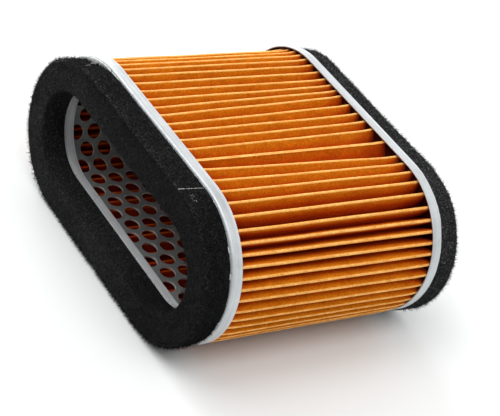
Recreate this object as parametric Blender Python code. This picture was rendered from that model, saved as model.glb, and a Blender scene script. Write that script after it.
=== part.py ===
"""Oval air filter for a motorcycle: pleated paper round a perforated tube, between two pressed end caps.

Metres, +Z up. The filter lies on its flat side with its open ends facing -Y (front) and +Y (rear). The long
axis of its oval runs along X. The origin is on the surface it lies on, under the filter's centre.

Every ring follows one oval: two half circles whose centres are STRAIGHT_HALF from the middle, joined by
straight sides. A ring's radius is that of its half circles.
"""
from math import cos, pi, radians, sin

import bmesh
import bpy
from mathutils import Matrix, Vector

MM = 0.001
GAP = 0.3 * MM                  # clearance between two pieces that touch

# The oval and the filter's length
STRAIGHT_HALF = 34.9 * MM       # filter's middle to the centre of each half circle
CAP_RADIUS = 32.0 * MM          # outside of the end caps, half the filter's height
CAP_FACE_Y = 48.8 * MM          # filter's middle to the outer face of each end cap
HALF_CIRCLE_STEPS = 18          # flats in each half circle

# End caps: channels pressed from sheet, open towards the filter's middle
CAP_SHEET = 0.6 * MM
CAP_BORE_RADIUS = 20.6 * MM     # inside of the inner flange
SKIRT_DEPTH = 4.6 * MM          # outer wall of the channel
FLANGE_DEPTH = 4.8 * MM         # inner wall of the channel
CAP_BEND_RADIUS = 1.0 * MM      # outside of the bends
CAP_BEND_STEPS = 2

# Foam seals and the adhesive film that holds each one on its cap
GLUE_FILM = 0.4 * MM
FOAM_RADIUS = 31.2 * MM
FOAM_BORE_RADIUS = 19.4 * MM
FOAM_THICKNESS = 9.0 * MM
FOAM_OUTER_ROUND = 1.4 * MM     # worn outer edge of the sealing face
FOAM_INNER_ROUND = 0.6 * MM
FOAM_ROUND_STEPS = 3

# Perforated tube: its ends stand in the channels, round the inner flanges
TUBE_SHEET = 0.8 * MM
TUBE_BORE_RADIUS = CAP_BORE_RADIUS + CAP_SHEET + GAP
TUBE_RADIUS = TUBE_BORE_RADIUS + TUBE_SHEET

# Adhesive bed in each channel, which holds the paper and the tube
POTTING_DEPTH = 1.4 * MM

# Pleated paper: one band, folded back and forth, whose two ends are glued to each other at the seam
PAPER = 0.5 * MM
PLEAT_TIP_RADIUS = 31.0 * MM    # outside of the outer folds
FOLD_RADIUS = 0.4 * MM          # middle of the paper in a fold
FOLD_SPREAD = radians(66)       # a fold's arc runs this far to each side
FOLD_STEPS = 2
SEAM_X = 19.05 * MM             # the seam stands on the upper straight side
SEAM_GAP = 6.95 * MM            # seam to the next outer fold, clockwise
FOLD_RUNS = (                   # outer folds that share a spacing, and that spacing, clockwise from there
    (5, 5.55 * MM),
    (1, 4.8 * MM),
    (5, 4.25 * MM),
    (1, 4.9 * MM),
    (11, 4.15 * MM),
    (14, 5.2 * MM),
    (23, 4.29 * MM),
    (3, 4.9 * MM),
    (2, 4.25 * MM),
    (1, 5.8 * MM),
    (3, 5.2 * MM),
)
SEAM_GLUE = 0.3 * MM            # thickness of the glue between the band's ends
SEAM_OVERLAP = 1.4 * MM         # depth over which the band's ends stand side by side

# Places worked out from the dimensions above
CENTRE_Z = CAP_RADIUS
FOAM_START_Y = CAP_FACE_Y + GAP + GLUE_FILM + GAP
FOAM_FACE_Y = FOAM_START_Y + FOAM_THICKNESS
CHANNEL_FLOOR_Y = CAP_FACE_Y - CAP_SHEET
POTTING_START_Y = CHANNEL_FLOOR_Y - GAP
POTTING_END_Y = POTTING_START_Y - POTTING_DEPTH
PAPER_END_Y = POTTING_END_Y - GAP
TIP_OVAL_LENGTH = 4 * STRAIGHT_HALF + 2 * pi * PLEAT_TIP_RADIUS


def material(name, colour, roughness, metallic=0.0):
    """A Principled material of one colour."""
    made = bpy.data.materials.new(name)
    made.use_nodes = True
    shader = made.node_tree.nodes["Principled BSDF"]
    shader.inputs["Base Color"].default_value = (*colour, 1.0)
    shader.inputs["Roughness"].default_value = roughness
    shader.inputs["Metallic"].default_value = metallic
    made.diffuse_color = (*colour, 1.0)
    return made


def add_object(name, bm, surface):
    """Turn a bmesh into a named object, smooth except at its sharp edges."""
    bmesh.ops.recalc_face_normals(bm, faces=bm.faces)
    mesh = bpy.data.meshes.new(name)
    bm.to_mesh(mesh)
    bm.free()
    mesh.shade_smooth()
    mesh.set_sharp_from_angle(angle=radians(35))
    mesh.materials.append(surface)
    made = bpy.data.objects.new(name, mesh)
    bpy.context.scene.collection.objects.link(made)
    return made


def rounded_corner(before, corner, after, radius, steps):
    """Points of the arc that rounds one corner of an outline."""
    towards_before = (Vector(before) - Vector(corner)).normalized()
    towards_after = (Vector(after) - Vector(corner)).normalized()
    half_angle = towards_before.angle(towards_after) / 2
    middle = (towards_before + towards_after).normalized()
    centre = Vector(corner) + middle * (radius / sin(half_angle))
    tangent_length = radius * cos(half_angle) / sin(half_angle)
    start = (Vector(corner) + towards_before * tangent_length - centre).normalized()
    end = (Vector(corner) + towards_after * tangent_length - centre).normalized()
    return [centre + radius * start.slerp(end, step / steps) for step in range(steps + 1)]


def rounded_outline(corners, steps):
    """Closed outline from (across, along, rounding radius) corners."""
    outline = []
    for index, (across, along, radius) in enumerate(corners):
        if radius:
            before = corners[index - 1][:2]
            after = corners[(index + 1) % len(corners)][:2]
            outline += rounded_corner(before, (across, along), after, radius, steps)
        else:
            outline.append(Vector((across, along)))
    return outline


def oval_stations():
    """Centre x and angle of each station round the oval, from the bottom of its +X end."""
    for centre_x, first_angle in ((STRAIGHT_HALF, -pi / 2), (-STRAIGHT_HALF, pi / 2)):
        for step in range(HALF_CIRCLE_STEPS + 1):
            yield centre_x, first_angle + pi * step / HALF_CIRCLE_STEPS


def oval_ring(name, profile, surface):
    """Sweep a closed (radius, y) profile round the oval."""
    bm = bmesh.new()
    rings = []
    for centre_x, angle in oval_stations():
        ring = []
        for radius, y in profile:
            ring.append(bm.verts.new((centre_x + radius * cos(angle), y, CENTRE_Z + radius * sin(angle))))
        rings.append(ring)
    for previous, ring in zip(rings[-1:] + rings, rings):
        for index, corner in enumerate(ring):
            bm.faces.new((previous[index - 1], previous[index], corner, ring[index - 1]))
    return add_object(name, bm, surface)


def end_cap(name, side, surface):
    """Channel with a flat outer face, an outer skirt and an inner flange."""
    inner_bend = CAP_BEND_RADIUS - CAP_SHEET
    skirt_edge = side * (CAP_FACE_Y - SKIRT_DEPTH)
    flange_edge = side * (CAP_FACE_Y - FLANGE_DEPTH)
    corners = [
        (CAP_BORE_RADIUS, flange_edge, 0),
        (CAP_BORE_RADIUS, side * CAP_FACE_Y, CAP_BEND_RADIUS),
        (CAP_RADIUS, side * CAP_FACE_Y, CAP_BEND_RADIUS),
        (CAP_RADIUS, skirt_edge, 0),
        (CAP_RADIUS - CAP_SHEET, skirt_edge, 0),
        (CAP_RADIUS - CAP_SHEET, side * CHANNEL_FLOOR_Y, inner_bend),
        (CAP_BORE_RADIUS + CAP_SHEET, side * CHANNEL_FLOOR_Y, inner_bend),
        (CAP_BORE_RADIUS + CAP_SHEET, flange_edge, 0),
    ]
    return oval_ring(name, rounded_outline(corners, CAP_BEND_STEPS), surface)


def foam_seal(name, side, surface):
    """Flat foam ring whose sealing face has rounded edges."""
    corners = [
        (FOAM_BORE_RADIUS, side * FOAM_START_Y, 0),
        (FOAM_BORE_RADIUS, side * FOAM_FACE_Y, FOAM_INNER_ROUND),
        (FOAM_RADIUS, side * FOAM_FACE_Y, FOAM_OUTER_ROUND),
        (FOAM_RADIUS, side * FOAM_START_Y, 0),
    ]
    return oval_ring(name, rounded_outline(corners, FOAM_ROUND_STEPS), surface)


def flat_ring(name, inner_radius, outer_radius, start_y, end_y, surface):
    """Ring of rectangular section between two distances from the filter's middle."""
    profile = [(inner_radius, start_y), (inner_radius, end_y), (outer_radius, end_y), (outer_radius, start_y)]
    return oval_ring(name, profile, surface)


def oval_place(distance, radius):
    """Point, travel direction and outward direction round the oval, all in the XZ plane.

    The distance is along the pleat tips' oval, clockwise from the middle of the upper side. The point is at
    the same place on the oval of the given radius.
    """
    half_circle = pi * PLEAT_TIP_RADIUS
    half_lap = 2 * STRAIGHT_HALF + half_circle
    lap_distance = distance % TIP_OVAL_LENGTH
    turned_round = lap_distance >= half_lap
    along = lap_distance - half_lap if turned_round else lap_distance
    if along < STRAIGHT_HALF:
        point, angle = Vector((along, radius)), 0.0
    elif along < STRAIGHT_HALF + half_circle:
        angle = (along - STRAIGHT_HALF) / PLEAT_TIP_RADIUS
        point = Vector((STRAIGHT_HALF + radius * sin(angle), radius * cos(angle)))
    else:
        point, angle = Vector((half_lap - along, -radius)), pi
    travel = Vector((cos(angle), -sin(angle)))
    outward = Vector((sin(angle), cos(angle)))
    if turned_round:
        return -point, -travel, -outward
    return point, travel, outward


def fold_points(distance, radius, bulge):
    """Rounded fold of the band's middle line; bulge is 1 for an outer fold and -1 for an inner one."""
    point, travel, outward = oval_place(distance, radius - bulge * FOLD_RADIUS)
    points = []
    for step in range(FOLD_STEPS + 1):
        angle = FOLD_SPREAD * (2 * step / FOLD_STEPS - 1)
        points.append(point + FOLD_RADIUS * (sin(angle) * travel + bulge * cos(angle) * outward))
    return points


def seam_end(side):
    """The band's middle line beside the seam glue: its edge, then where it leaves the seam."""
    from_middle = SEAM_GLUE / 2 + GAP + PAPER / 2
    points = []
    for depth in (0.0, SEAM_OVERLAP):
        point, travel, _ = oval_place(SEAM_X, PLEAT_TIP_RADIUS - depth)
        points.append(point + side * from_middle * travel)
    return points


def outer_folds():
    """Distances of the outer folds round the oval, with the seam first and last."""
    places = [SEAM_X, SEAM_X + SEAM_GAP]
    for count, spacing in FOLD_RUNS:
        for _ in range(count):
            places.append(places[-1] + spacing)
    return places + [SEAM_X + TIP_OVAL_LENGTH]


def pleated_paper(surface):
    """The folded band, as a surface along its middle line, thickened by a Solidify modifier."""
    tips = outer_folds()
    tip_middle = PLEAT_TIP_RADIUS - PAPER / 2
    valley_middle = TUBE_RADIUS + GAP + PAPER / 2
    line = seam_end(1)
    for previous, tip in zip(tips, tips[1:]):
        line += fold_points((previous + tip) / 2, valley_middle, -1)
        if tip != tips[-1]:
            line += fold_points(tip, tip_middle, 1)
    line += reversed(seam_end(-1))

    bm = bmesh.new()
    corners = [bm.verts.new((x, -PAPER_END_Y, CENTRE_Z + z)) for x, z in line]
    edges = [bm.edges.new(pair) for pair in zip(corners, corners[1:])]
    pulled = bmesh.ops.extrude_edge_only(bm, edges=edges)
    far_corners = [item for item in pulled["geom"] if isinstance(item, bmesh.types.BMVert)]
    bmesh.ops.translate(bm, verts=far_corners, vec=(0, 2 * PAPER_END_Y, 0))
    band = add_object("pleated_paper", bm, surface)
    thickness = band.modifiers.new("paper thickness", "SOLIDIFY")
    thickness.thickness = PAPER
    thickness.offset = 0
    thickness.use_even_offset = True
    return band


def seam_glue(surface):
    """Strip of adhesive between the two ends of the folded band."""
    point, _, _ = oval_place(SEAM_X, PLEAT_TIP_RADIUS - SEAM_OVERLAP / 2)
    bm = bmesh.new()
    size = Matrix.Diagonal((SEAM_GLUE, 2 * PAPER_END_Y, SEAM_OVERLAP, 1))
    bmesh.ops.create_cube(bm, size=1, matrix=Matrix.Translation((point.x, 0, CENTRE_Z + point.y)) @ size)
    return add_object("paper_seam_glue", bm, surface)


def build():
    """Make every piece of the filter."""
    foam = material("black open-cell foam", (0.03, 0.03, 0.032), 0.95)
    glue = material("milky glue", (0.72, 0.70, 0.62), 0.45)
    steel = material("galvanised steel sheet", (0.70, 0.72, 0.74), 0.4, 0.9)
    potting = material("brown potting adhesive", (0.30, 0.16, 0.07), 0.5)
    paper = material("orange filter paper", (0.80, 0.30, 0.05), 0.85)
    perforated = material("perforated steel sheet", (0.42, 0.43, 0.44), 0.5, 0.85)

    for name, side in (("front", -1), ("rear", 1)):
        foam_seal(f"{name}_foam_seal", side, foam)
        film_start = side * (CAP_FACE_Y + GAP)
        film_end = side * (CAP_FACE_Y + GAP + GLUE_FILM)
        flat_ring(
            f"{name}_seal_glue", CAP_BORE_RADIUS + CAP_BEND_RADIUS, FOAM_RADIUS - CAP_BEND_RADIUS,
            film_start, film_end, glue
        )
        end_cap(f"{name}_end_cap", side, steel)
        flat_ring(
            f"{name}_potting", TUBE_RADIUS + GAP, CAP_RADIUS - CAP_SHEET - GAP,
            side * POTTING_END_Y, side * POTTING_START_Y, potting
        )
    tube_end = CHANNEL_FLOOR_Y - GAP
    flat_ring("perforated_tube", TUBE_BORE_RADIUS, TUBE_RADIUS, -tube_end, tube_end, perforated)
    pleated_paper(paper)
    seam_glue(glue)


for leftover in list(bpy.data.objects):
    bpy.data.objects.remove(leftover, do_unlink=True)
build()
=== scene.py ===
"""Looks of the oval air filter: foam seals, pressed caps, pleated paper, perforated tube and glue.

Metres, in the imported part's frame: the filter lies on its flat side, its front opening faces -Y, the
oval's long axis runs along X and the floor is at Z = 0. Every ring follows the same oval: two half
circles joined by straight sides. A place on it is a distance round the oval, clockwise from the middle
of the upper side as seen from the front, and a radius, which is that of the half circles.
"""

from math import cos, pi, radians, sin

import bmesh
import bpy
import numpy as np
from mathutils import Matrix, Vector, noise


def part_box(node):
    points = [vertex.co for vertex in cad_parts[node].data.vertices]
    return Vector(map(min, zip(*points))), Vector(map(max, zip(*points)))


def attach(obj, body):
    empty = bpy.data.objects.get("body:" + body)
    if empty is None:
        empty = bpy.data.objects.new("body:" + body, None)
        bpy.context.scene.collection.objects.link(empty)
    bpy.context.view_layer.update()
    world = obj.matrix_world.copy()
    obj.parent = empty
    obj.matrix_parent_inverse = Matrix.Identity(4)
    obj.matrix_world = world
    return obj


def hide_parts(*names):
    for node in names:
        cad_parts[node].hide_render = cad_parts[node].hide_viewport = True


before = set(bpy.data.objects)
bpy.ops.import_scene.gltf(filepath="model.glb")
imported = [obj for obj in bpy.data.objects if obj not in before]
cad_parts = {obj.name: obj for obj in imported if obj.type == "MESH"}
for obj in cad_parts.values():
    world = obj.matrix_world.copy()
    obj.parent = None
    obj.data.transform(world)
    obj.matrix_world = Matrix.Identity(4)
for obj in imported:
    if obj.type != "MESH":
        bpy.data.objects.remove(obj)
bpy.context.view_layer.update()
noise.seed_set(11)      # noise_vector differs from run to run without it

MM = 0.001

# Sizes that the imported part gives
CAP_LOW, CAP_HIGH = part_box("front_end_cap")
FOAM_LOW, FOAM_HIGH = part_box("front_foam_seal")
TUBE_LOW, TUBE_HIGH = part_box("perforated_tube")
PAPER_LOW, PAPER_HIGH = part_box("pleated_paper")
CENTRE_Z = (CAP_LOW[2] + CAP_HIGH[2]) / 2
CAP_RADIUS = (CAP_HIGH[2] - CAP_LOW[2]) / 2
STRAIGHT_HALF = (CAP_HIGH[0] - CAP_LOW[0]) / 2 - CAP_RADIUS
CAP_FACE_Y = -CAP_LOW[1]
FOAM_RADIUS = (FOAM_HIGH[2] - FOAM_LOW[2]) / 2
FOAM_FACE_Y = -FOAM_LOW[1]
TUBE_RADIUS = (TUBE_HIGH[2] - TUBE_LOW[2]) / 2
TUBE_END_Y = -TUBE_LOW[1]
TIP_RADIUS = PAPER_HIGH[2] - CENTRE_Z
PAPER_END_Y = -PAPER_LOW[1]

# End caps
CAP_SHEET = 0.6 * MM
CAP_BORE_RADIUS = 20.6 * MM
SKIRT_DEPTH = 4.6 * MM
FLANGE_DEPTH = 4.8 * MM
CAP_BEND_RADIUS = 1.0 * MM
# Painted light low on the inner flange and painted shade high up
FLANGE_PAINTED_LIGHT = ((-5 * MM, 14 * MM), (1.0, 0.15))    # by height above the middle

# Foam seals
FOAM_BORE_RADIUS = 19.4 * MM
FOAM_START_Y = CAP_FACE_Y + 0.15 * MM
FOAM_OUTER_ROUND = 1.4 * MM
FOAM_INNER_ROUND = 0.6 * MM
FOAM_STEP = 0.5 * MM             # spacing of the foam's mesh
FOAM_CELL = 1.0 * MM
FOAM_SLIP = 1.8 * MM             # how far the rear foam sits below the middle of its cap
FOAM_SAG = 1.6 * MM              # how far the front foam's upper side hangs into its opening
FOAM_DENT_AT = -47 * MM          # where the front foam is glued too far in, round the oval
FOAM_DENT_WIDTH = 9.5 * MM
FOAM_DENT_DEPTH = 2.2 * MM
FOAM_LOWEST = 0.15 * MM          # the foam is pressed flat just above the floor

# Broken struts that stand out of a seal: how many, how long, and the height, before any slip, up to which
# its outer side has been pressed smooth
FRONT_FIBRES = (26000, (0.5 * MM, 2.2 * MM), 0.0)
REAR_FIBRES = (28000, (0.5 * MM, 2.1 * MM), 12 * MM)
FIBRE_WIDTH = 0.09 * MM
FIBRE_SPREAD = 0.55              # how far they lean away from the surface's normal
FIBRE_ROOT = 0.1 * MM            # how deep they start
FIBRE_CLEARANCE = 0.4 * MM       # none starts nearer to the cap
FRAYED_DEPTH = 2.5 * MM          # the outer side and its edge, which are frayed, reach this far in
FRAYED_SHARE = 0.6               # share of the struts that stand there only

# Painted light and shade on a seal, from 0, darkest, to 1, brightest
FACE_PAINTED_LIGHT = ((-20 * MM, 15 * MM), (0.5, 0.02))     # by x and height above the middle, added up
SIDE_PAINTED_LIGHT = ((30 * MM, 50 * MM), (0.5, 0.2))       # by x
FULL_SIDE_PAINTED_LIGHT = 1.0
SIDE_LIGHT_DEPTHS = (1.3 * MM, 0.4 * MM)            # between these the face's painted light becomes the side's
RIDGE_PAINTED_HIGHLIGHT = 0.45                                  # a painted highlight on the outer edge
RIDGE_DEPTH = 0.9 * MM
RIDGE_WIDTH = 0.45 * MM

# Spilt glue on the front seal: (distance round the oval, y) of a thread, specks and flakes
THREAD_ENDS = ((35.4 * MM, -49.8 * MM), (34.5 * MM, -59.8 * MM))
THREAD_RADIUS = 0.1 * MM
THREAD_LIFT = 0.3 * MM           # the foam's rough surface would hide it any lower
SPECK_ENDS = ((38 * MM, -57 * MM), (42 * MM, -56 * MM))
SPECK_SCATTER = 0.9 * MM
SPECK_COUNT = 16
SPECK_SIZES = (0.06 * MM, 0.12 * MM)
FLAKE_ENDS = ((-44 * MM, -54.7 * MM), (-45.3 * MM, -50.3 * MM))
FLAKE_SCATTER = 0.25 * MM
FLAKE_COUNT = 16
FLAKE_SIZES = (0.15 * MM, 0.4 * MM)
DROP_SHAPE = (1.5, 0.7, 0.35)    # half the length, width and height of a speck or flake of size 1
DROP_LIFT = 0.45 * MM

# Perforated tube
TUBE_SHEET = 0.8 * MM
HOLE_RADIUS = 3.1 * MM
HOLE_PITCH = 8.0 * MM            # along the tube
HOLES_IN_ROW = 11
ROW_PITCH = 7.08 * MM            # round the tube
ROW_COUNT = 39
ROW_STARTS_Y = (-38.1 * MM, -42.1 * MM)
CELL_PARTS = 6                   # quads across a row of holes
HOLE_CHAMFER = 0.06 * MM
TUBE_SLIT = 0.2 * MM             # where the rolled sheet's edges meet
TUBE_SEAM_AT = 0.64 * MM         # that place, at the top, round the oval from its middle

# Pleated paper
PAPER = 0.5 * MM
FOLD_RADIUS = 0.4 * MM
FOLD_SPREAD = radians(66)
FOLD_STEPS = 6
PAPER_STEPS = 26                 # along the pleats
SEAM_AT = 19.05 * MM             # where the band's two ends are glued together
SEAM_GAP = 6.95 * MM             # from there to the next outer fold, clockwise
FOLD_RUNS = (                    # the outer folds after that one: how many, and how far apart
    (5, 5.55 * MM),
    (1, 4.80 * MM),
    (5, 4.25 * MM),
    (1, 4.90 * MM),
    (11, 4.15 * MM),
    (14, 5.20 * MM),
    (23, 4.29 * MM),
    (3, 4.90 * MM),
    (2, 4.25 * MM),
    (1, 5.80 * MM),
    (3, 5.20 * MM),
)
FOLD_LEANS = (                   # distance, and how much a fold shifts clockwise for each metre of y
    (-22 * MM, 0.0),
    (-9 * MM, -0.044),
    (2 * MM, -0.015),
    (12 * MM, -0.022),
    (19 * MM, 0.0),
    (26 * MM, 0.044),
    (32 * MM, 0.020),
    (44 * MM, 0.0),
    (60 * MM, 0.010),
    (92 * MM, 0.028),
    (130 * MM, 0.0),
)
SEAM_OVERLAP = 1.4 * MM
SEAM_HALF_THICKNESS = 0.34 * MM  # seam glue's middle to the middle of the paper on each side
SEAM_GLUE_HALF = 0.28 * MM
SEAM_GLUE_DEPTH = 0.18 * MM      # how far the glue mostly stays below the seam's edge
BAND_SLIP = (0.65 * MM, -0.70 * MM)     # how far the band sits off the caps' middle, x and z
SLIP_STARTS_Y, SLIP_ENDS_Y = 42.5 * MM, 45 * MM
SLIP_LEFT = 0.2                  # part of the slip that is left inside the caps' skirts
PLACE_JITTER = 0.1 * MM
TIP_JITTER = 0.12 * MM
FLANK_BUCKLE = 0.25 * MM

# Painted shade between the folds, from 0, a lit tip, to 1, the darkest
FLANK_SHADE, FOOT_SHADE = 0.4, 0.8
INNER_FACE_SHADE, INNER_FOOT_SHADE = 0.74, 0.85
INNER_TIP_PAINTED_LIGHT = 0.24           # painted light on the outer folds' inner side
SEAM_SHADES, INNER_SEAM_SHADES = (0, 0.05, 0.2), (0, 0.4, 0.7)
END_SHADE = 0.4                  # painted shade on the band's ends, under the caps' skirts
END_SHADE_FROM_Y = 32 * MM

# Camera, fitted to the object's outline
CAMERA_AZIMUTH = radians(45.05)  # from -Y towards +X
CAMERA_ELEVATION = radians(33.37)
CAMERA_ROLL = radians(21.92)
CAMERA_DISTANCE = 607.2 * MM
CAMERA_LENS = 113.3
CAMERA_AIM = Vector((7.8 * MM, 2.18 * MM, CENTRE_Z - 6.05 * MM))

# Light: a dim white room, and broad lamps round the table except where the filter is seen from
AMBIENT_STRENGTH = 0.08
BACKDROP_STRENGTH = 0.93         # how bright the room itself looks behind the table
LAMP_SPREAD = radians(45)
LAMPS = (                        # degrees from -Y towards +X, degrees above the table, strength
    ("front", 0, 55, 0.85),
    ("right", 90, 62, 1.3),
    ("back_right", 135, 15, 0.35),
    ("back", 180, 28, 0.8),
    ("back_left", 225, 15, 0.7),
    ("left", 270, 15, 3.2),
    ("front_left", 315, 58, 1.2),
)
FLOOR_HALF = 2.0


# --- Shapes --------------------------------------------------------------------------------------

def oval_at(distance, radius):
    """Spine x and outward direction (x, z) at distances measured round the oval of the given radius."""
    arc = pi * radius
    knots = np.cumsum([0, STRAIGHT_HALF, arc, 2 * STRAIGHT_HALF, arc, STRAIGHT_HALF])
    place = np.mod(distance, knots[-1])
    half = STRAIGHT_HALF
    spine = np.interp(place, knots, [0, half, half, -half, -half, 0])
    angle = np.interp(place, knots, [0, 0, pi, pi, 2 * pi, 2 * pi])
    return spine, np.sin(angle), np.cos(angle)


def oval_length(radius):
    return 4 * STRAIGHT_HALF + 2 * pi * radius


def finish_mesh(name, points, faces, surface, sharp_angle=40):
    """Make a smooth-shaded piece that rides on the filter's one body."""
    mesh = bpy.data.meshes.new(name)
    mesh.from_pydata([tuple(point) for point in points], [], [tuple(face) for face in faces])
    mesh.validate()
    mesh.shade_smooth()
    mesh.set_sharp_from_angle(angle=radians(sharp_angle))
    mesh.materials.append(surface)
    piece = bpy.data.objects.new(name, mesh)
    bpy.context.scene.collection.objects.link(piece)
    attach(piece, "root")
    return piece


def mark_points(piece, name, values):
    """Give a piece's points a number that its material reads."""
    attribute = piece.data.attributes.new(name, "FLOAT", "POINT")
    attribute.data.foreach_set("value", values)


def ring_faces(stations, around):
    """Quads of a closed ring: stations round the oval, each with a closed outline of points."""
    station, point = np.meshgrid(np.arange(stations), np.arange(around), indexing="ij")
    next_station = (station + 1) % stations
    next_point = (point + 1) % around
    quads = (
        station * around + point,
        next_station * around + point,
        next_station * around + next_point,
        station * around + next_point,
    )
    return np.stack(quads, axis=-1).reshape(-1, 4)


def swept_ring(outline, step, reference):
    """Points of a closed (radius, y) outline at stations round the oval, as (stations, points, 3)."""
    count = int(round(oval_length(reference) / step))
    distance = np.arange(count) * oval_length(reference) / count
    spine, out_x, out_z = oval_at(distance, reference)
    radius, along = np.array(outline).T
    x = spine[:, None] + out_x[:, None] * radius
    z = CENTRE_Z + out_z[:, None] * radius
    y = np.broadcast_to(along, x.shape)
    return np.stack((x, y, z), axis=-1)


def rounded_outline(corners, spacing):
    """Closed outline from (radius, y, rounding) corners, with points about the given spacing apart."""
    path = []
    for index, (across, along, rounding) in enumerate(corners):
        corner = Vector((across, along))
        if not rounding:
            path.append(corner)
            continue
        before = (Vector(corners[index - 1][:2]) - corner).normalized()
        after = (Vector(corners[(index + 1) % len(corners)][:2]) - corner).normalized()
        centre = corner + (before + after) * rounding
        steps = max(3, int(rounding * pi / 2 / spacing))
        for step in range(steps + 1):
            angle = pi / 2 * step / steps
            path.append(centre - rounding * (cos(angle) * after + sin(angle) * before))
    outline = []
    for start, end in zip(path, path[1:] + path[:1]):
        pieces = max(1, int(round((end - start).length / spacing)))
        outline += [start.lerp(end, piece / pieces) for piece in range(pieces)]
    return outline


def wall_faces(rows, around):
    """Quads between each two of rows + 1 closed loops of points."""
    faces = []
    for row in range(rows):
        for index in range(around):
            after = (index + 1) % around
            low, high = row * around, (row + 1) * around
            faces.append((low + index, low + after, high + after, high + index))
    return faces


def rod_faces(rows, around):
    """The same with both ends closed."""
    ends = [tuple(reversed(range(around))), tuple(rows * around + index for index in range(around))]
    return wall_faces(rows, around) + ends


def outward_faces(faces, outline):
    """Turn the faces over if the outline runs the other way round."""
    area = sum(a[0] * b[1] - b[0] * a[1] for a, b in zip(outline, outline[1:] + outline[:1]))
    return faces if area > 0 else faces[:, ::-1]


# --- Materials -----------------------------------------------------------------------------------

def grey(value):
    return (value, value, value)


class Surface:
    """A Principled material and short ways to add nodes to it."""

    def __init__(self, name, colour, roughness, metallic=0.0):
        self.material = bpy.data.materials.new(name)
        self.material.use_nodes = True
        self.material.diffuse_color = (*colour, 1.0)
        self.tree = self.material.node_tree
        self.shader = self.tree.nodes["Principled BSDF"]
        self.shader.inputs["Base Color"].default_value = (*colour, 1.0)
        self.shader.inputs["Roughness"].default_value = roughness
        self.shader.inputs["Metallic"].default_value = metallic
        self.place = self.tree.nodes.new("ShaderNodeTexCoord").outputs["Object"]

    def set(self, socket, value):
        self.shader.inputs[socket].default_value = value

    def node(self, kind, links=None, **settings):
        """Add a node; links maps its input names to outputs or values."""
        node = self.tree.nodes.new(kind)
        for name, value in settings.items():
            setattr(node, name, value)
        for name, value in (links or {}).items():
            if isinstance(value, bpy.types.NodeSocket):
                self.tree.links.new(value, node.inputs[name])
            else:
                node.inputs[name].default_value = value
        return node

    def noise(self, scale, detail=3.0, roughness=0.55, stretch=None):
        """Noise at the given scale per metre, optionally stretched along the axes."""
        place = self.place
        if stretch:
            place = self.node("ShaderNodeMapping", {"Vector": place, "Scale": stretch}).outputs["Vector"]
        links = {"Vector": place, "Scale": scale, "Detail": detail, "Roughness": roughness}
        return self.node("ShaderNodeTexNoise", links).outputs["Fac"]

    def cells(self, scale, feature="F1", output="Distance"):
        links = {"Vector": self.place, "Scale": scale}
        return self.node("ShaderNodeTexVoronoi", links, feature=feature).outputs[output]

    def ramp(self, factor, stops):
        """Colour ramp with (position, colour) stops."""
        ramp = self.node("ShaderNodeValToRGB", {"Fac": factor})
        elements = ramp.color_ramp.elements
        while len(elements) < len(stops):
            elements.new(0.5)
        for element, (position, colour) in zip(elements, stops):
            element.position = position
            element.color = (*colour, 1.0)
        return ramp.outputs["Color"]

    def mix(self, factor, first, second, blend="MIX"):
        """Blend two colours; a mix node's colour sockets are its inputs 6 and 7 and its output 2."""
        mix = self.node("ShaderNodeMix", data_type="RGBA", blend_type=blend)
        sockets = (mix.inputs["Factor"], mix.inputs[6], mix.inputs[7])
        for socket, value in zip(sockets, (factor, first, second)):
            if isinstance(value, bpy.types.NodeSocket):
                self.tree.links.new(value, socket)
            else:
                socket.default_value = value if socket.type == "VALUE" else (*value, 1.0)
        return mix.outputs[2]

    def multiply(self, first, second):
        return self.mix(1.0, first, second, "MULTIPLY")

    def mark(self, name):
        """A number that the piece's points carry."""
        return self.node("ShaderNodeAttribute", attribute_name=name).outputs["Fac"]

    def spread(self, factor, low, high):
        """Map a factor from 0 to 1 to a range of values."""
        links = {"Value": factor, "To Min": low, "To Max": high}
        return self.node("ShaderNodeMapRange", links).outputs["Result"]

    def feed(self, socket, output):
        self.tree.links.new(output, self.shader.inputs[socket])

    def bump(self, *layers):
        """Stack (height, distance, strength) bumps on the shader's normal."""
        normal = None
        for height, distance, strength in layers:
            links = {"Height": height, "Distance": distance, "Strength": strength}
            if normal:
                links["Normal"] = normal
            normal = self.node("ShaderNodeBump", links).outputs["Normal"]
        self.feed("Normal", normal)


def foam_surface():
    """Charcoal open-cell foam: dark pores, which are painted shade, between lighter struts, and specks,
    with painted light and shade over it.
    """
    foam = Surface("foam", (0.009, 0.009, 0.0092), 0.95)
    pores = foam.cells(1000, "DISTANCE_TO_EDGE")
    # Painted shade: the pores are painted darker than the struts between them
    struts = foam.ramp(pores, [(0.0, (0.017, 0.017, 0.0175)), (0.14, grey(0.008)), (0.45, grey(0.002))])
    clouds = foam.ramp(foam.noise(60, 2), [(0.35, grey(0.9)), (0.7, (1.1, 1.1, 1.11))])
    specks = foam.ramp(foam.noise(1300, 2, 0.8), [(0.55, grey(0.0)), (0.72, (0.085, 0.085, 0.086))])
    # Painted light and shade: brighter outer side and outer edge, darker on parts of the face
    foam_painted_light = foam.mark("foam_painted_light")
    painted_light_tone = foam.ramp(foam_painted_light, [(0.0, grey(0.6)), (0.5, grey(1.15)), (1.0, grey(2.5))])
    speck_light = foam.ramp(foam_painted_light, [(0.0, grey(0.2)), (0.5, grey(0.55)), (1.0, grey(2.2))])
    tone = foam.multiply(foam.multiply(struts, clouds), painted_light_tone)
    foam.feed("Base Color", foam.mix(1.0, tone, foam.multiply(specks, speck_light), "ADD"))
    foam.set("Sheen Weight", 0.01)
    foam.set("Specular IOR Level", 0.06)
    foam.bump((pores, 0.4 * MM, 0.9), (foam.noise(900, 2), 0.3 * MM, 0.7))
    return foam.material


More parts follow.
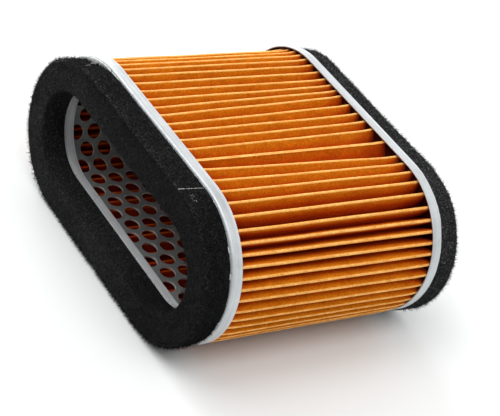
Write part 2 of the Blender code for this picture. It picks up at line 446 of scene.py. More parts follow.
def cap_surface():
    """Pale galvanised sheet: soft spangle, drawing lines round the oval, and painted light and shade.

    The mark is 0 for dark red-brown painted shade inside the channel, 0.5 where the sheet is plain,
    and from 0.15, painted shade high up, to 1, painted light low down, on the flange.
    """
    steel = Surface("galvanised_sheet", (0.62, 0.643, 0.65), 0.45, 0.45)
    spangle = steel.cells(260, "F1", "Color")
    tone = steel.ramp(spangle, [(0.0, (0.60, 0.623, 0.632)), (1.0, (0.66, 0.683, 0.692))])
    streaks = steel.noise(900, 4, 0.7, stretch=(0.02, 1, 0.02))
    lines = steel.ramp(streaks, [(0.36, (0.83, 0.84, 0.85)), (0.62, grey(1.06))])
    clouds = steel.ramp(steel.noise(45, 3), [(0.3, (0.92, 0.93, 0.94)), (0.7, grey(1.0))])
    # Painted shade, dark red-brown, inside the channel, and painted light and shade on the flange
    painted_lighting = steel.ramp(steel.mark("cap_painted_light"), [
        (0.0, (0.13, 0.04, 0.02)), (0.2, (0.55, 0.53, 0.5)), (0.5, grey(1.0)), (1.0, grey(1.3)),
    ])
    steel.feed("Base Color", steel.multiply(steel.multiply(steel.multiply(tone, lines), painted_lighting), clouds))
    steel.feed("Roughness", steel.spread(steel.noise(140, 5), 0.38, 0.58))
    scratches = steel.noise(260, 2, stretch=(1, 9, 1))
    steel.bump((scratches, 0.02 * MM, 0.5), (steel.noise(60, 2), 0.12 * MM, 0.2))
    return steel.material


def tube_surface():
    """Duller grey galvanised sheet, with a painted highlight on the walls of its punched holes, where the
    cut steel is bare.
    """
    steel = Surface("perforated_sheet", (0.25, 0.26, 0.26), 0.5, 0.4)
    spangle = steel.cells(420, "F1", "Color")
    tone = steel.ramp(spangle, [(0.0, (0.22, 0.235, 0.23)), (1.0, (0.29, 0.305, 0.30))])
    clouds = steel.ramp(steel.noise(70, 4), [(0.3, (0.82, 0.82, 0.83)), (0.7, grey(1.0))])
    sheet = steel.multiply(tone, clouds)
    # Painted highlight: the holes' walls are painted bright
    steel.feed("Base Color", steel.mix(steel.mark("cut_edge"), sheet, (0.78, 0.76, 0.72)))
    steel.feed("Roughness", steel.spread(steel.noise(200, 4), 0.35, 0.6))
    steel.bump((steel.noise(500, 3), 0.03 * MM, 0.5))
    return steel.material


def paper_surface():
    """Orange resin-treated paper: felted, mottled, with a painted highlight on its outer folds and
    painted shade, redder and darker, between them.
    """
    paper = Surface("filter_paper", (0.64, 0.21, 0.006), 0.85)
    felt = paper.noise(420, 5, 0.65)
    clouds = paper.noise(90, 3)
    fibres = paper.noise(700, 3, 0.6, stretch=(1, 0.25, 1))
    tone = paper.ramp(felt, [
        (0.3, (0.50, 0.125, 0.002)), (0.52, (0.65, 0.195, 0.004)), (0.72, (0.79, 0.27, 0.009)),
    ])
    cloudy = paper.ramp(clouds, [(0.3, (0.52, 0.125, 0.002)), (0.7, (0.78, 0.27, 0.008))])
    fibrous = paper.ramp(fibres, [(0.35, (0.51, 0.13, 0.002)), (0.65, (0.76, 0.27, 0.008))])
    tone = paper.mix(0.35, paper.mix(0.5, tone, cloudy), fibrous)
    # Painted shade: the paper is painted darker and redder the deeper it lies between the folds
    shade = paper.ramp(paper.mark("depth"), [
        (0.0, grey(1.0)), (0.22, (0.97, 0.80, 0.7)), (0.4, (0.87, 0.43, 0.36)),
        (0.8, (0.49, 0.08, 0.16)), (1.0, (0.17, 0.02, 0.08)),
    ])
    # Painted highlight on the outer folds
    highlight_noise = paper.noise(170, 4, 0.6)
    painted_brightness = paper.ramp(highlight_noise, [(0.35, (0.83, 0.37, 0.085)), (0.62, (0.95, 0.51, 0.15))])
    grain_noise = paper.noise(1500, 2, 0.8)
    grain = paper.ramp(grain_noise, [(0.3, (0.72, 0.70, 0.66)), (0.7, (1.26, 1.28, 1.3))])
    tone = paper.mix(paper.mark("outer_fold"), paper.multiply(tone, shade), painted_brightness)
    paper.feed("Base Color", paper.multiply(tone, grain))
    paper.set("Specular IOR Level", 0.08)
    paper.feed("Roughness", paper.spread(felt, 0.8, 0.97))
    paper.bump((felt, 0.12 * MM, 0.5), (fibres, 0.1 * MM, 0.4))
    return paper.material


def potting_surface():
    """Dark brown cured adhesive, uneven and half glossy."""
    bed = Surface("potting_adhesive", (0.035, 0.005, 0.0015), 0.6)
    tone = bed.ramp(bed.noise(120, 4), [(0.3, (0.026, 0.003, 0.001)), (0.7, (0.05, 0.007, 0.002))])
    bed.feed("Base Color", tone)
    bed.feed("Roughness", bed.spread(bed.noise(300, 3), 0.5, 0.75))
    bed.set("Specular IOR Level", 0.1)
    bed.bump((bed.noise(350, 3), 0.2 * MM, 0.6))
    return bed.material


def glue_surface():
    """Milky dried glue."""
    glue = Surface("dried_glue", (0.72, 0.73, 0.71), 0.4)
    tone = glue.ramp(glue.noise(300, 3), [(0.3, (0.56, 0.57, 0.54)), (0.7, (0.78, 0.79, 0.78))])
    glue.feed("Base Color", tone)
    glue.feed("Roughness", glue.spread(glue.noise(500, 2), 0.3, 0.55))
    glue.bump((glue.noise(900, 2), 0.1 * MM, 0.5))
    return glue.material


def seam_glue_surface():
    """Thin clear glue, coloured like the painted highlight on the paper's outer folds, with a few milky
    spots.
    """
    glue = Surface("seam_glue", (0.88, 0.42, 0.11), 0.6)
    spots = glue.ramp(glue.noise(140, 2), [(0.64, (0.90, 0.44, 0.11)), (0.76, (0.85, 0.60, 0.40))])
    # Painted highlight: the same pale orange as the paper's lit outer folds
    glue.feed("Base Color", spots)
    glue.set("Specular IOR Level", 0.15)
    glue.feed("Roughness", glue.spread(glue.noise(500, 2), 0.5, 0.7))
    glue.bump((glue.noise(900, 2), 0.1 * MM, 0.5))
    return glue.material


def floor_surface():
    """Plain pale table top."""
    floor = Surface("pale_floor", (0.81, 0.83, 0.825), 0.6)
    clouds = floor.noise(3, 2)
    tone = floor.ramp(clouds, [(0.3, (0.805, 0.822, 0.82)), (0.7, (0.82, 0.835, 0.833))])
    floor.feed("Base Color", tone)
    return floor.material


# --- Pieces --------------------------------------------------------------------------------------

def grid_normals(points):
    """Outward normals of a swept ring's points."""
    along = np.roll(points, -1, axis=0) - np.roll(points, 1, axis=0)
    around = np.roll(points, -1, axis=1) - np.roll(points, 1, axis=1)
    normals = np.cross(along, around)
    normals /= np.linalg.norm(normals, axis=2, keepdims=True)
    outward = points - points.mean(axis=1, keepdims=True)
    return normals * np.sign((normals * outward).sum())


def foam_roughness(place, wander):
    """How far the foam's surface stands out at a place: torn struts, open pores and slow bulges."""
    if abs(place.y) < FOAM_START_Y + 0.1 * MM:
        return 0.0
    distances, _ = noise.voronoi(place / FOAM_CELL)
    pore = 0.5 * MM * min(0.5, distances[1] - distances[0])
    tear = 0.14 * MM * noise.noise(place / (0.6 * MM) + wander)
    bulge = 0.25 * MM * noise.noise(place / (14 * MM) + wander)
    mean_rise = 0.1 * MM
    return mean_rise + tear - pore + bulge


def foam_fibres(points, normals, fibres, random):
    """Thin three-sided spikes rooted at random places on a swept ring: their points and triangles."""
    count, lengths, pressed_below = fibres
    stations, around = points.shape[:2]
    station = random.integers(0, stations, count)
    radius = points[0, :, 2] - CENTRE_Z     # the first station is at the middle of the upper side
    outer = np.flatnonzero(radius > FOAM_RADIUS - FRAYED_DEPTH)
    index = np.where(
        random.uniform(size=count) < FRAYED_SHARE,
        outer[random.integers(0, len(outer), count)],
        random.integers(0, around, count),
    )
    across = random.uniform(0, 1, (2, count, 1))
    root = points[station, index]
    root = root + across[0] * (points[(station + 1) % stations, index] - root)
    root = root + across[1] * (points[station, (index + 1) % around] - points[station, index])
    lean = normals[station, index] + FIBRE_SPREAD * random.normal(0, 1, (count, 3))
    lean /= np.linalg.norm(lean, axis=1, keepdims=True)
    side = np.cross(lean, random.normal(0, 1, (count, 3)))
    side *= FIBRE_WIDTH / np.linalg.norm(side, axis=1, keepdims=True)
    other = np.cross(lean, side)
    foot = root - FIBRE_ROOT * lean
    tip = root + lean * random.uniform(*lengths, (count, 1))
    corners = [foot + side, foot - 0.5 * side + 0.87 * other, foot - 0.5 * side - 0.87 * other, tip]
    pressed_flat = (root[:, 2] < pressed_below) & np.isin(index, outer)
    kept = (np.abs(root[:, 1]) > FOAM_START_Y + FIBRE_CLEARANCE) & ~pressed_flat
    kept_points = np.stack(corners, axis=1)[kept].reshape(-1, 3)
    first = 4 * np.arange(kept.sum())[:, None]
    triangles = np.array([(0, 2, 1), (0, 1, 3), (1, 2, 3), (2, 0, 3)]).reshape(1, -1)
    return kept_points, (first + triangles).reshape(-1, 3)


def foam_light_marks(points, painted_lighting):
    """Painted light and shade on a seal's points: on its face, its outer side and the edge between."""
    spine_x = np.clip(points[:, 0], -STRAIGHT_HALF, STRAIGHT_HALF)
    radius = np.hypot(points[:, 0] - spine_x, points[:, 2] - CENTRE_Z)
    side = np.interp(radius, [FOAM_RADIUS - depth for depth in SIDE_LIGHT_DEPTHS], (0, 1))
    face_light = np.interp(points[:, 0] + points[:, 2] - CENTRE_Z, *FACE_PAINTED_LIGHT)
    side_light = FULL_SIDE_PAINTED_LIGHT if painted_lighting else np.interp(points[:, 0], *SIDE_PAINTED_LIGHT)
    # Painted highlight along the outer edge
    ridge = RIDGE_PAINTED_HIGHLIGHT * np.exp(-((radius - FOAM_RADIUS + RIDGE_DEPTH) / RIDGE_WIDTH) ** 2)
    ridge = ridge * (np.abs(points[:, 1]) > FOAM_FACE_Y - 1.0 * MM)
    return face_light + side * (side_light - face_light) + ridge


def dent_depth(distance, y):
    """How far the front foam's outer side is pulled in where the strip was glued too far in."""
    ragged = 1 + 0.5 * noise.noise(Vector((distance / (1.6 * MM), y / (2.5 * MM), 0.3)))
    return FOAM_DENT_DEPTH * ragged * np.exp(-((distance - FOAM_DENT_AT) / FOAM_DENT_WIDTH) ** 2)


def dent_foam(points):
    """Dent the front foam ring's outer side and let its upper side sag into the opening."""
    spine_x = np.clip(points[..., 0], -STRAIGHT_HALF, STRAIGHT_HALF)
    across = np.stack((points[..., 0] - spine_x, points[..., 2] - CENTRE_Z), axis=-1)
    radius = np.linalg.norm(across, axis=-1)
    angle = np.arctan2(across[..., 0], across[..., 1])
    distance = spine_x + angle * FOAM_RADIUS
    depth = [dent_depth(place, y) for place, y in zip(distance.flat, points[..., 1].flat)]
    depth = np.reshape(depth, radius.shape) * (across[..., 1] > 0)
    depth = depth * (radius - FOAM_BORE_RADIUS) / (FOAM_RADIUS - FOAM_BORE_RADIUS)
    points[..., 0] -= depth * across[..., 0] / radius
    points[..., 2] -= depth * across[..., 1] / radius
    upper = np.clip(across[..., 1] / radius * 1.6 - 0.6, 0, 1)      # 1 at the top, 0 by the sides
    points[..., 2] -= FOAM_SAG * upper * (FOAM_RADIUS - radius) / (FOAM_RADIUS - FOAM_BORE_RADIUS)


def foam_seal(name, side, surface, fibres, drop=0.0, dented=False, painted_lighting=False):
    """Foam ring with open pores and broken struts, so that its outline is rough."""
    corners = [
        (FOAM_BORE_RADIUS, side * FOAM_START_Y, 0),
        (FOAM_BORE_RADIUS, side * FOAM_FACE_Y, FOAM_INNER_ROUND),
        (FOAM_RADIUS, side * FOAM_FACE_Y, FOAM_OUTER_ROUND),
        (FOAM_RADIUS, side * FOAM_START_Y, 0),
    ]
    outline = rounded_outline(corners, FOAM_STEP)
    points = swept_ring(outline, FOAM_STEP, FOAM_RADIUS - 3 * MM)
    if dented:
        dent_foam(points)
    wander = Vector((31.7 * side, 5.3, 11.9))
    rise = [foam_roughness(Vector(point), wander) for point in points.reshape(-1, 3)]
    points = points + grid_normals(points) * np.array(rise).reshape(*points.shape[:2], 1)
    faces = outward_faces(ring_faces(*points.shape[:2]), outline)
    random = np.random.default_rng(17 + side)
    fibre_points, fibre_faces = foam_fibres(points, grid_normals(points), fibres, random)
    all_faces = [*faces.tolist(), *(fibre_faces + points.shape[0] * points.shape[1]).tolist()]
    all_points = np.concatenate((points.reshape(-1, 3), fibre_points))
    # Painted light and shade on the seal's points
    foam_light_values = foam_light_marks(all_points, painted_lighting)
    all_points[:, 2] = np.maximum(all_points[:, 2] - drop, FOAM_LOWEST)
    piece = finish_mesh(name, all_points, all_faces, surface, 180)
    mark_points(piece, "foam_painted_light", foam_light_values)
    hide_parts(name)
    return piece


def end_cap(name, side, surface):
    """Pressed channel with a flat face, an outer skirt and an inner flange; painted light low on the
    flange, painted shade high on it and inside the channel.
    """
    inner_bend = CAP_BEND_RADIUS - CAP_SHEET
    skirt_edge = side * (CAP_FACE_Y - SKIRT_DEPTH)
    flange_edge = side * (CAP_FACE_Y - FLANGE_DEPTH)
    floor_y = side * (CAP_FACE_Y - CAP_SHEET)
    edge_round = 0.2 * MM
    corners = [
        (CAP_BORE_RADIUS, flange_edge, edge_round),
        (CAP_BORE_RADIUS, side * CAP_FACE_Y, CAP_BEND_RADIUS),
        (CAP_RADIUS, side * CAP_FACE_Y, CAP_BEND_RADIUS),
        (CAP_RADIUS, skirt_edge, edge_round),
        (CAP_RADIUS - CAP_SHEET, skirt_edge, edge_round),
        (CAP_RADIUS - CAP_SHEET, floor_y, inner_bend),
        (CAP_BORE_RADIUS + CAP_SHEET, floor_y, inner_bend),
        (CAP_BORE_RADIUS + CAP_SHEET, flange_edge, edge_round),
    ]
    outline = rounded_outline(corners, 1.2 * MM)
    points = swept_ring(outline, 2.0 * MM, CAP_RADIUS)
    faces = outward_faces(ring_faces(*points.shape[:2]), outline)
    piece = finish_mesh(name, points.reshape(-1, 3), faces, surface)
    radius, along = np.array(outline).T
    on_flange = radius < CAP_BORE_RADIUS + CAP_SHEET / 2
    inside = 0.9 * CAP_SHEET
    in_channel = (radius > CAP_BORE_RADIUS + inside) & (radius < CAP_RADIUS - inside)
    in_channel &= np.abs(along) < CAP_FACE_Y - inside
    # The flange gets painted light low down and painted shade high up; the channel gets painted shade
    painted_brightness = np.interp(points[..., 2] - CENTRE_Z, *FLANGE_PAINTED_LIGHT)
    mark_points(piece, "cap_painted_light", np.where(in_channel, 0, np.where(on_flange, painted_brightness, 0.5)).ravel())
    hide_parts(name)
    return piece


def potting(name, side, surface):
    """Adhesive bed with an uneven surface, into which the pleats' ends are sunk."""
    start = side * (CAP_FACE_Y - CAP_SHEET - 0.1 * MM)
    end = side * (PAPER_END_Y - 0.3 * MM)
    inner, outer = TUBE_RADIUS + 0.1 * MM, CAP_RADIUS - CAP_SHEET - 0.1 * MM
    corners = [(inner, start, 0), (outer, start, 0), (outer, end, 0), (inner, end, 0)]
    outline = rounded_outline(corners, 0.7 * MM)
    points = swept_ring(outline, 1.0 * MM, CAP_RADIUS)
    faces = outward_faces(ring_faces(*points.shape[:2]), outline)
    piece = finish_mesh(name, points.reshape(-1, 3), faces, surface)
    for vertex in piece.data.vertices:
        if abs(vertex.co.y) < PAPER_END_Y:
            vertex.co.y += side * 0.35 * MM * noise.noise(vertex.co / (3 * MM))
    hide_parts(name)
    return piece


def foam_side_at(distance, y, lift):
    """Point on the front foam's outer side, raised by lift, with its outward and clockwise directions."""
    spine, out_x, out_z = (float(value) for value in oval_at(distance, FOAM_RADIUS))
    radius = FOAM_RADIUS + lift - dent_depth(distance, y)
    point = Vector((spine + out_x * radius, y, CENTRE_Z + out_z * radius))
    return point, Vector((out_x, 0, out_z)), Vector((out_z, 0, -out_x))


def glue_drops(ends, scatter, count, sizes, random):
    """Small flat drops of dried glue scattered along a line on the front foam's side."""
    points, faces = [], []
    for _ in range(count):
        place = np.array(ends[0]) + random.uniform() * np.subtract(ends[1], ends[0])
        place += random.uniform(-scatter, scatter, 2)
        point, outward, travel = foam_side_at(*place, DROP_LIFT)
        size = random.uniform(*sizes)
        drop = bmesh.new()
        bmesh.ops.create_icosphere(drop, subdivisions=1, radius=1.0)
        first = len(points)
        turn = Matrix.Rotation(random.uniform(0, pi), 3, "Z") @ Matrix.Diagonal(DROP_SHAPE)
        for vertex in drop.verts:
            across, along, up = size * (turn @ vertex.co) * random.uniform(0.7, 1.3)
            points.append(point + across * travel + Vector((0, along, 0)) + up * outward)
        faces += [[first + vertex.index for vertex in face.verts] for face in drop.faces]
        drop.free()
    return points, faces


def joint_thread():
    """Thin thread of glue that oozed out of the foam strip's joint, a little past its face's edge."""
    rows, sides = 19, 5
    (first_distance, first_y), (last_distance, last_y) = THREAD_ENDS
    points = []
    for row in range(rows + 1):
        part = row / rows
        waver = noise.noise_vector(Vector((row / 3, 0.2, 7.1)))
        distance = first_distance + part * (last_distance - first_distance) + 0.08 * MM * waver.x
        y = first_y + part * (last_y - first_y)
        point, outward, travel = foam_side_at(distance, y, THREAD_LIFT)
        for step in range(sides):
            angle = 2 * pi * step / sides
            thickness = THREAD_RADIUS * (1 + 0.4 * waver.y)
            points.append(point + thickness * (cos(angle) * travel + sin(angle) * outward))
    return points, rod_faces(rows, sides)


def seal_glue(name, side, surface, spills=()):
    """Film under the foam, with an uneven bead squeezed out at its foot, and what was spilt on it."""
    thickness = FOAM_START_Y - CAP_FACE_Y + 0.25 * MM
    start = side * (CAP_FACE_Y + 0.02 * MM)
    inner_radius, outer_radius = CAP_BORE_RADIUS + 1.2 * MM, FOAM_RADIUS - 0.1 * MM
    corners = [
        (inner_radius, start, 0),
        (outer_radius, start, 0),
        (outer_radius, start + side * thickness, 0.15 * MM),
        (inner_radius, start + side * thickness, 0),
    ]
    outline = rounded_outline(corners, 0.9 * MM)
    points = swept_ring(outline, 0.8 * MM, FOAM_RADIUS)
    faces = outward_faces(ring_faces(*points.shape[:2]), outline)
    for station in points:
        place = Vector(station.mean(axis=0))
        squeeze = 0.25 * MM * noise.noise(place / (6 * MM)) + 0.2 * MM * noise.noise(place / (1.3 * MM))
        spine_x = np.clip(station[:, 0], -STRAIGHT_HALF, STRAIGHT_HALF)
        out = station - np.stack((spine_x, station[:, 1], np.full(len(station), CENTRE_Z)), axis=-1)
        radius = np.linalg.norm(out, axis=1)
        bead = radius > FOAM_RADIUS - 0.5 * MM
        station[bead] += out[bead] / radius[bead, None] * squeeze
    points, faces = points.reshape(-1, 3).tolist(), faces.tolist()
    for spilt_points, spilt_faces in spills:
        faces += [[len(points) + index for index in face] for face in spilt_faces]
        points += spilt_points
    piece = finish_mesh(name, points, faces, surface)
    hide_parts(name)
    return piece


def outer_folds():
    """Distances of the outer folds round the oval, the seam first and last."""
    places = [SEAM_AT, SEAM_AT + SEAM_GAP]
    for count, spacing in FOLD_RUNS:
        for _ in range(count):
            places.append(places[-1] + spacing)
    return np.array([*places, SEAM_AT + oval_length(TIP_RADIUS)])


def fold_directions(distance):
    """Spine points, outward and clockwise directions, as (x, z) rows, at distances round the oval."""
    spine, out_x, out_z = oval_at(distance, TIP_RADIUS)
    outward = np.stack((out_x, out_z), axis=-1)
    travel = np.stack((out_z, -out_x), axis=-1)
    return np.stack((spine, np.zeros_like(spine)), axis=-1), outward, travel


def rounded_folds(distance, radius, bulge):
    """Middle lines of folds, by fold, point, x and z; bulge is 1 for outer folds, -1 for inner ones."""
    spine, outward, travel = (direction[:, None] for direction in fold_directions(distance))
    angles = np.linspace(-FOLD_SPREAD, FOLD_SPREAD, FOLD_STEPS + 1)[None, :, None]
    centre = spine + outward * (radius - bulge * FOLD_RADIUS)[:, None, None]
    return centre + FOLD_RADIUS * (np.sin(angles) * travel + bulge * np.cos(angles) * outward)


def seam_line(side, slip):
    """The band's end beside the seam glue: its edge, a point below it, and where it leaves the seam."""
    spine, outward, travel = (rows[0] for rows in fold_directions(np.array([SEAM_AT])))
    middle = spine + side * SEAM_HALF_THICKNESS * travel
    top = TIP_RADIUS - 0.1 * MM + outward @ slip
    return np.array([middle + outward * (top - depth) for depth in (0, 0.3 * MM, SEAM_OVERLAP)])


def band_slip(y):
    """How far the band sits off the middle at this y, (x, z): most of it is lost inside the skirts."""
    left = np.interp(abs(y), (SLIP_STARTS_Y, SLIP_ENDS_Y), (1.0, SLIP_LEFT))
    return left * np.array(BAND_SLIP)


def band_line(y, tips, heights):
    """The folded band's middle line at this y, from one side of the seam round to the other."""
    length = oval_length(TIP_RADIUS)
    from_top = np.where(tips > length / 2, tips - length, tips)
    leans = np.interp(from_top, *np.array(FOLD_LEANS).T)
    wander = [Vector((2.7 * index, y / (25 * MM), 0.4)) for index in range(len(tips))]
    sway = np.array([noise.noise_vector(place) for place in wander])
    sway[[0, -1]] = 0
    places = tips + leans * y + 2 * PLACE_JITTER * sway[:, 0]
    _, outward, _ = fold_directions(places)
    slip = band_slip(y)
    radius = TIP_RADIUS - PAPER / 2 - heights + outward @ slip + TIP_JITTER * sway[:, 1]
    outer = rounded_folds(places[1:-1], radius[1:-1], 1)
    middles = (places[:-1] + places[1:]) / 2
    inner_radius = TUBE_RADIUS + 0.15 * MM + PAPER / 2
    inner = rounded_folds(middles, np.full(len(middles), inner_radius), -1)
    _, _, travel = fold_directions(places[1:-1])
    buckle = FLANK_BUCKLE * sway[1:-1, 2, None] * travel
    rising = (inner[:-1, -1] + outer[:, 0]) / 2 + buckle
    falling = (outer[:, -1] + inner[1:, 0]) / 2 + buckle
    pleats = np.concatenate((inner[:-1], rising[:, None], outer, falling[:, None]), axis=1)
    return np.concatenate((
        seam_line(1, slip), pleats.reshape(-1, 2), inner[-1], seam_line(-1, slip)[::-1],
    ))


def thickened(line):
    """Closed outline of paper along its middle line: out along one face and back along the other."""
    steps = np.diff(line, axis=0)
    steps /= np.linalg.norm(steps, axis=1)[:, None]
    ahead = np.concatenate((steps, steps[-1:]))
    behind = np.concatenate((steps[:1], steps))
    along = ahead + behind
    along /= np.linalg.norm(along, axis=1)[:, None]
    stretch = 1 / np.maximum(0.7, (along * ahead).sum(axis=1))      # so that bends keep their thickness
    sideways = np.stack((-along[:, 1], along[:, 0]), axis=-1) * (PAPER / 2 * stretch)[:, None]
    return np.concatenate((line + sideways, (line - sideways)[::-1]))


def pleated_paper(surface):
    """One folded band; outer_fold marks the painted highlight on its outer folds, and depth the painted
    shade between them.
    """
    random = np.random.default_rng(61)
    tips = outer_folds()
    heights = random.uniform(0, TIP_JITTER, len(tips))
    sunk = 0.8 * MM     # into the adhesive beds
    stations = np.linspace(-PAPER_END_Y - sunk, PAPER_END_Y + sunk, PAPER_STEPS + 1)
    outlines = [thickened(band_line(y, tips, heights)) for y in stations]
    count = len(outlines[0])
    points = [(x, y, CENTRE_Z + z) for y, outline in zip(stations, outlines) for x, z in outline]
    faces = wall_faces(PAPER_STEPS, count)
    for row, flip in ((0, True), (PAPER_STEPS, False)):
        for index in range(count // 2 - 1):
            quad = [row * count + i for i in (index, index + 1, count - 2 - index, count - 1 - index)]
            faces.append(quad[::-1] if flip else quad)
    piece = finish_mesh("pleated_paper", points, faces, surface, 60)

    # Marks along the outer face and then back along the inner one: seam, inner fold, flank, outer fold,
    # flank and so on, and seam
    angles = np.linspace(-FOLD_SPREAD, FOLD_SPREAD, FOLD_STEPS + 1)
    paleness = np.clip((np.cos(angles) - cos(FOLD_SPREAD)) / 0.35, 0, 1)
    plain, full = np.zeros(FOLD_STEPS + 1), np.ones(FOLD_STEPS + 1)
    pleats = len(tips) - 2
    # Painted highlight on the outer folds and the seam's edges
    outer_fold = (1, 0, 0, *[*plain, 0, *paleness, 0] * pleats, *plain, 0, 0, 1)
    hidden_fold = (1, *np.zeros(len(outer_fold) - 2), 1)
    mark_points(piece, "outer_fold", np.tile([*outer_fold, *hidden_fold], PAPER_STEPS + 1))
    # Painted shade between the folds, by where each point lies on a pleat
    foot = FOOT_SHADE * full
    outer_pleats = [*foot, FLANK_SHADE, *plain, FLANK_SHADE] * pleats
    outer_face = (*SEAM_SHADES, *outer_pleats, *foot, *SEAM_SHADES[::-1])
    lit = INNER_FACE_SHADE - INNER_TIP_PAINTED_LIGHT * paleness
    inner_pleats = [*lit, INNER_FACE_SHADE, *INNER_FOOT_SHADE * full, INNER_FACE_SHADE] * pleats
    inner_face = (*INNER_SEAM_SHADES, *inner_pleats, *lit, *INNER_SEAM_SHADES[::-1])
    depth = np.concatenate((outer_face, inner_face[::-1]))
    # Painted shade towards the band's ends, under the caps' skirts
    towards_end = (np.abs(stations) - END_SHADE_FROM_Y) / (PAPER_END_Y - END_SHADE_FROM_Y)
    end_shading = END_SHADE * np.clip(towards_end, 0, 1) ** 1.5
    mark_points(piece, "depth", np.clip(depth + end_shading[:, None], 0, 1).ravel())
    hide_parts("pleated_paper")
    return piece


def perforated_sheet():
    """Flat pattern of the tube: (distance, y) points, quads round the holes, and the holes' rims."""
    points, lookup, faces, rims = [], {}, [], []
    length = oval_length(TUBE_RADIUS - TUBE_SHEET / 2)
    plain = (length - ROW_COUNT * ROW_PITCH) / 2
    rows = [plain + ROW_PITCH * index for index in range(ROW_COUNT + 1)]
    millimetres = range(-9, 86)     # from the first row's start, as far as the tube's ends
    y_lines = [-TUBE_END_Y, *(ROW_STARTS_Y[0] + MM * step for step in millimetres), TUBE_END_Y]

    def corner(distance, y):
        key = (round(distance / MM, 3), round(y / MM, 3))
        if key not in lookup:
            lookup[key] = len(points)
            points.append((distance, y))
        return lookup[key]

    def plain_cells(start, end, low, high, parts):
        lines = [y for y in y_lines if low - 0.01 * MM < y < high + 0.01 * MM]
        cuts = [start + (end - start) * part / parts for part in range(parts + 1)]
        for left, right in zip(cuts, cuts[1:]):
            for bottom, top in zip(lines, lines[1:]):
                quad = ((left, bottom), (right, bottom), (right, top), (left, top))
                faces.append(tuple(corner(*place) for place in quad))

    def holed_cell(start, end, y):
        along = int(round(HOLE_PITCH / MM))
        half = HOLE_PITCH / 2
        cuts = [start + (end - start) * part / CELL_PARTS for part in range(CELL_PARTS + 1)]
        steps = [y - half + MM * step for step in range(along + 1)]
        loop = [(cut, steps[0]) for cut in cuts[:-1]] + [(end, step) for step in steps[:-1]]
        loop += [(cut, steps[-1]) for cut in cuts[:0:-1]] + [(start, step) for step in steps[:0:-1]]
        middle = Vector(((start + end) / 2, y))
        rim = []
        for distance, height in loop:
            spoke = (Vector((distance, height)) - middle).normalized()
            rim.append(len(points))
            points.append(tuple(middle + spoke * (HOLE_RADIUS + HOLE_CHAMFER)))
        for index in range(len(loop)):
            after = (index + 1) % len(loop)
            faces.append((corner(*loop[index]), corner(*loop[after]), rim[after], rim[index]))
        rims.append((rim, middle))

    plain_cells(TUBE_SLIT / 2, plain, -TUBE_END_Y, TUBE_END_Y, 1)
    for index, (start, end) in enumerate(zip(rows, rows[1:])):
        first = ROW_STARTS_Y[index % 2]
        centres = [first + HOLE_PITCH * step for step in range(HOLES_IN_ROW)]
        plain_cells(start, end, -TUBE_END_Y, first - HOLE_PITCH / 2, CELL_PARTS)
        for y in centres:
            holed_cell(start, end, y)
        plain_cells(start, end, centres[-1] + HOLE_PITCH / 2, TUBE_END_Y, CELL_PARTS)
    plain_cells(rows[-1], length - TUBE_SLIT / 2, -TUBE_END_Y, TUBE_END_Y, 1)
    return np.array(points), faces, rims


def perforated_tube(surface):
    """The flat pattern rolled to the oval and given its thickness, with chamfered holes."""
    flat, flat_faces, rims = perforated_sheet()
    middle_radius = TUBE_RADIUS - TUBE_SHEET / 2

    def rolled(pattern, offset):
        spine, out_x, out_z = oval_at(pattern[:, 0] + TUBE_SEAM_AT, middle_radius)
        radius = middle_radius + offset
        return np.stack((spine + out_x * radius, pattern[:, 1], CENTRE_Z + out_z * radius), axis=-1)

    count = len(flat)
    rim_pattern, rim_loops = [], []
    for rim, middle in rims:
        rim_loops.append(range(len(rim_pattern), len(rim_pattern) + len(rim)))
        for index in rim:
            spoke = (Vector(flat[index]) - middle).normalized()
            rim_pattern.append(tuple(middle + spoke * HOLE_RADIUS))
    rim_pattern = np.array(rim_pattern)
    wall = TUBE_SHEET / 2 - HOLE_CHAMFER
    points = np.concatenate((
        rolled(flat, TUBE_SHEET / 2), rolled(flat, -TUBE_SHEET / 2),
        rolled(rim_pattern, wall), rolled(rim_pattern, -wall),
    ))
    faces = [tuple(face) for face in flat_faces]
    faces += [tuple(count + index for index in reversed(face)) for face in flat_faces]
    outer_wall, inner_wall = 2 * count, 2 * count + len(rim_pattern)
    for (rim, _), loop in zip(rims, rim_loops):
        size = len(rim)
        for step in range(size):
            a, b = rim[step], rim[(step + 1) % size]
            c, d = loop[step], loop[(step + 1) % size]
            faces.append((a, b, outer_wall + d, outer_wall + c))
            faces.append((outer_wall + c, outer_wall + d, inner_wall + d, inner_wall + c))
            faces.append((inner_wall + c, inner_wall + d, count + b, count + a))
    rim_points = {index for rim, _ in rims for index in rim}
    used = {}
    for face in flat_faces:
        for a, b in zip(face, face[1:] + face[:1]):
            used[(a, b)] = used.get((a, b), 0) + 1
    for a, b in used:
        if (b, a) not in used and a not in rim_points:
            faces.append((b, a, count + a, count + b))
    piece = finish_mesh("perforated_tube", points, faces, surface, 30)
    # Painted highlight on the holes' walls
    mark_points(piece, "cut_edge", np.arange(len(points)) >= 2 * count)
    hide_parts("perforated_tube")
    return piece


def seam_glue(surface):
    """Strip of glue between the band's ends, with an uneven upper edge."""
    steps, sides = 60, 5
    half = SEAM_GLUE_HALF
    points = []
    for y in np.linspace(-PAPER_END_Y, PAPER_END_Y, steps + 1):
        edge = TIP_RADIUS + band_slip(y)[1]
        top = edge - SEAM_GLUE_DEPTH + 0.2 * MM * noise.noise(Vector((0.3, y / (7 * MM), 0.7)))
        foot, shoulder = edge - SEAM_OVERLAP, top - 0.1 * MM
        for x, rise in ((-half, foot), (half, foot), (half, shoulder), (0, top), (-half, shoulder)):
            points.append((SEAM_AT + x, y, CENTRE_Z + rise))
    piece = finish_mesh("paper_seam_glue", points, rod_faces(steps, sides), surface)
    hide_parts("paper_seam_glue")
    return piece


# --- Stage ---------------------------------------------------------------------------------------

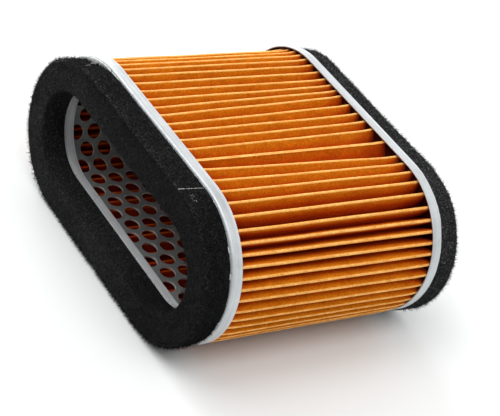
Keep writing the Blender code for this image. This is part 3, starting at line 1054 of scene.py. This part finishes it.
def make_camera():
    camera = bpy.data.objects.new("camera", bpy.data.cameras.new("camera"))
    camera.data.lens = CAMERA_LENS
    camera.data.sensor_width = 36
    camera.data.clip_start = 0.01
    flat = cos(CAMERA_ELEVATION)
    back = Vector((sin(CAMERA_AZIMUTH) * flat, -cos(CAMERA_AZIMUTH) * flat, sin(CAMERA_ELEVATION)))
    turn = back.to_track_quat("Z", "Y").to_matrix().to_4x4() @ Matrix.Rotation(CAMERA_ROLL, 4, "Z")
    camera.matrix_world = Matrix.Translation(CAMERA_AIM + back * CAMERA_DISTANCE) @ turn
    bpy.context.scene.collection.objects.link(camera)
    bpy.context.scene.camera = camera


def make_stage():
    mesh = bpy.data.meshes.new("floor")
    corners = [(x * FLOOR_HALF, y * FLOOR_HALF, 0) for x, y in ((-1, -1), (1, -1), (1, 1), (-1, 1))]
    mesh.from_pydata(corners, [], [(0, 1, 2, 3)])
    mesh.materials.append(floor_surface())
    floor = bpy.data.objects.new("floor", mesh)
    bpy.context.scene.collection.objects.link(floor)
    world = bpy.data.worlds.new("studio")
    world.use_nodes = True
    nodes = world.node_tree.nodes
    background = nodes["Background"]
    background.inputs["Color"].default_value = (0.98, 0.99, 1.0, 1.0)
    seen = nodes.new("ShaderNodeLightPath").outputs["Is Camera Ray"]
    brightness = nodes.new("ShaderNodeMapRange")
    brightness.inputs["To Min"].default_value = AMBIENT_STRENGTH
    brightness.inputs["To Max"].default_value = BACKDROP_STRENGTH
    world.node_tree.links.new(seen, brightness.inputs["Value"])
    world.node_tree.links.new(brightness.outputs["Result"], background.inputs["Strength"])
    bpy.context.scene.world = world
    for name, azimuth, height, strength in LAMPS:
        lamp = bpy.data.lights.new(name, "SUN")
        lamp.energy = strength
        lamp.angle = LAMP_SPREAD
        light = bpy.data.objects.new(name, lamp)
        turn, rise = radians(azimuth), radians(height)
        towards = Vector((sin(turn) * cos(rise), -cos(turn) * cos(rise), sin(rise)))
        light.rotation_euler = towards.to_track_quat("Z", "Y").to_euler()
        bpy.context.scene.collection.objects.link(light)
    bpy.context.scene.view_settings.view_transform = "Standard"


make_camera()
make_stage()
foam = foam_surface()
glue = glue_surface()
steel = cap_surface()
bed = potting_surface()
foam_seal("front_foam_seal", -1, foam, FRONT_FIBRES, dented=True)
foam_seal("rear_foam_seal", 1, foam, REAR_FIBRES, drop=FOAM_SLIP, painted_lighting=True)
random = np.random.default_rng(29)
specks = glue_drops(SPECK_ENDS, SPECK_SCATTER, SPECK_COUNT, SPECK_SIZES, random)
flakes = glue_drops(FLAKE_ENDS, FLAKE_SCATTER, FLAKE_COUNT, FLAKE_SIZES, random)
seal_glue("front_seal_glue", -1, glue, (joint_thread(), specks, flakes))
seal_glue("rear_seal_glue", 1, glue)
for end, side in (("front", -1), ("rear", 1)):
    end_cap(f"{end}_end_cap", side, steel)
    potting(f"{end}_potting", side, bed)
pleated_paper(paper_surface())
seam_glue(seam_glue_surface())
perforated_tube(tube_surface())
